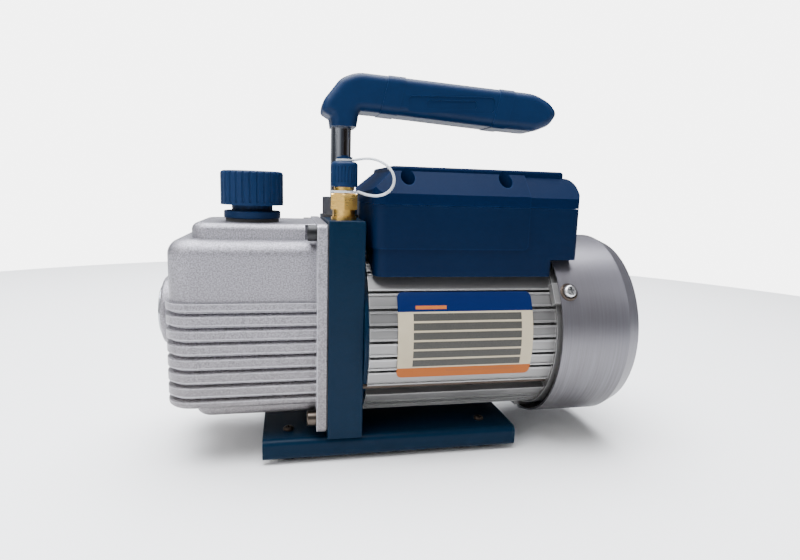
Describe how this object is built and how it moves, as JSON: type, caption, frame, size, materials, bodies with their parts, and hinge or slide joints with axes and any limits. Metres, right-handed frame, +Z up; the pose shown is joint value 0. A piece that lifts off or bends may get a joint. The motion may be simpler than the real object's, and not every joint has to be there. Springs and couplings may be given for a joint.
{
  "type": "rotary vane vacuum pump",
  "caption": "Oil-sealed rotary vane vacuum pump: ribbed motor, square block, grooved oil case, terminal box and top handle.",
  "frame": {"origin": "on the floor, under the middle of the machine's bounding box", "axes": "+X along the shaft from the oil case to the fan, +Y from the intake side to the mains inlet side, +Z up"},
  "size_m": [0.27, 0.1142, 0.2152],
  "materials": {
    "blue_paint": "satin blue paint",
    "blue_plastic": "moulded blue plastic, fine grain",
    "cap_plastic": "moulded blue plastic, glossy",
    "grip_plastic": "soft blue grip",
    "cast_aluminium": "die cast, silver finish",
    "extruded_aluminium": "extruded, lightly brushed",
    "silver_cover": "pressed steel, satin silver",
    "chrome": "polished plating",
    "brass": "machined brass",
    "rubber": "black rubber",
    "screw_steel": "zinc plated steel",
    "bearing_steel": "ground steel",
    "core_steel": "laminated steel",
    "cast_iron": "machined cast iron",
    "copper": "enamelled copper wire",
    "vane_composite": "resin-bonded composite",
    "black_plastic": "moulded black plastic",
    "red_plastic": "moulded red plastic",
    "capacitor_can": "drawn can",
    "glass": "clear window",
    "label": "printed foil plate",
    "strap": "translucent flexible plastic"
  },
  "bodies": {
    "pump": {"base_plate": "blue_paint", "pump_bracket": "blue_paint", "terminal_box": "blue_plastic", "terminal_lid": "blue_plastic", "exhaust_port": "cap_plastic", "handle_grip": "grip_plastic", "oil_case": "cast_aluminium", "motor_housing": "extruded_aluminium", "rear_end_shield": "extruded_aluminium", "fan_cover": "silver_cover", "handle_rod": "chrome", "handle_nut": "chrome", "sight_glass_bezel": "chrome", "intake_fitting": "brass", "inlet_pins": "brass", "rubber_feet": "rubber", "exhaust_port_seal": "rubber", "handle_washer": "rubber", "sight_glass_seal": "rubber", "drain_seal": "rubber", "shaft_seal": "rubber", "case_gasket": "rubber", "foot_screws": "screw_steel", "base_bolts": "screw_steel", "case_bolts": "screw_steel", "drain_plug": "screw_steel", "lid_screws": "screw_steel", "fan_cover_screws": "screw_steel", "pump_bolts": "screw_steel", "tie_rods": "screw_steel", "intake_strainer": "screw_steel", "bearing_outer_rings": "bearing_steel", "bearing_balls": "bearing_steel", "exhaust_valve": "bearing_steel", "stator_core": "core_steel", "pump_cylinder": "cast_iron", "pump_end_plate": "cast_iron", "stator_windings": "copper", "rocker_bezel": "black_plastic", "power_inlet": "black_plastic", "terminal_block": "black_plastic", "run_capacitor": "capacitor_can", "sight_glass_lens": "glass", "nameplate": "label", "tether_neck_ring": "strap"},
    "drive": {"drive_shaft": "bearing_steel", "motor_rotor": "core_steel", "bearing_inner_rings": "bearing_steel", "cooling_fan": "black_plastic", "fan_clip": "screw_steel", "pump_rotor": "cast_iron", "vane_springs": "bearing_steel"},
    "near_vane": {"near_vane": "vane_composite"},
    "far_vane": {"far_vane": "vane_composite"},
    "exhaust_cap_carrier": {"exhaust_cap_seal": "rubber"},
    "exhaust_cap": {"exhaust_cap": "cap_plastic"},
    "intake_cap_carrier": {"tether_cap_ring": "strap", "tether_strap": "strap"},
    "intake_cap": {"intake_cap": "cap_plastic"},
    "rocker": {"rocker_switch": "red_plastic"}
  },
  "joints": [
    {"name": "drive_spin", "type": "hinge", "parent": "pump", "child": "drive", "pos_m": [0, 0, 0.0686], "axis": [1, 0, 0], "continuous": true},
    {"name": "near_vane_slide", "type": "slide", "parent": "drive", "child": "near_vane", "axis": [0, -1, 0], "range_m": [0, 0.0023]},
    {"name": "far_vane_slide", "type": "slide", "parent": "drive", "child": "far_vane", "axis": [0, 1, 0], "range_m": [0, 0.0023]},
    {"name": "exhaust_cap_lift", "type": "slide", "parent": "pump", "child": "exhaust_cap_carrier", "axis": [0, 0, 1], "range_m": [0, 0.0074]},
    {"name": "exhaust_cap_spin", "type": "hinge", "parent": "exhaust_cap_carrier", "child": "exhaust_cap", "pos_m": [-0.0843, -0.009, 0.15], "axis": [0, 0, 1], "range_deg": [0, 900]},
    {"name": "intake_cap_lift", "type": "slide", "parent": "pump", "child": "intake_cap_carrier", "axis": [0, 0, 1], "range_m": [0, 0.0101], "deforming": ["tether_strap"]},
    {"name": "intake_cap_spin", "type": "hinge", "parent": "intake_cap_carrier", "child": "intake_cap", "pos_m": [-0.0351, -0.028, 0.158], "axis": [0, 0, 1], "range_deg": [0, 2880]},
    {"name": "rocker_turn", "type": "hinge", "parent": "pump", "child": "rocker", "pos_m": [0.031, 0.0416, 0.1314], "axis": [0, 0, -1], "range_deg": [0, 16]}
  ],
  "couplings": [
    {"joint": "exhaust_cap_spin", "follows": "exhaust_cap_lift", "rad_per_m": 2094.4},
    {"joint": "intake_cap_spin", "follows": "intake_cap_lift", "rad_per_m": 4947.4}
  ]
}
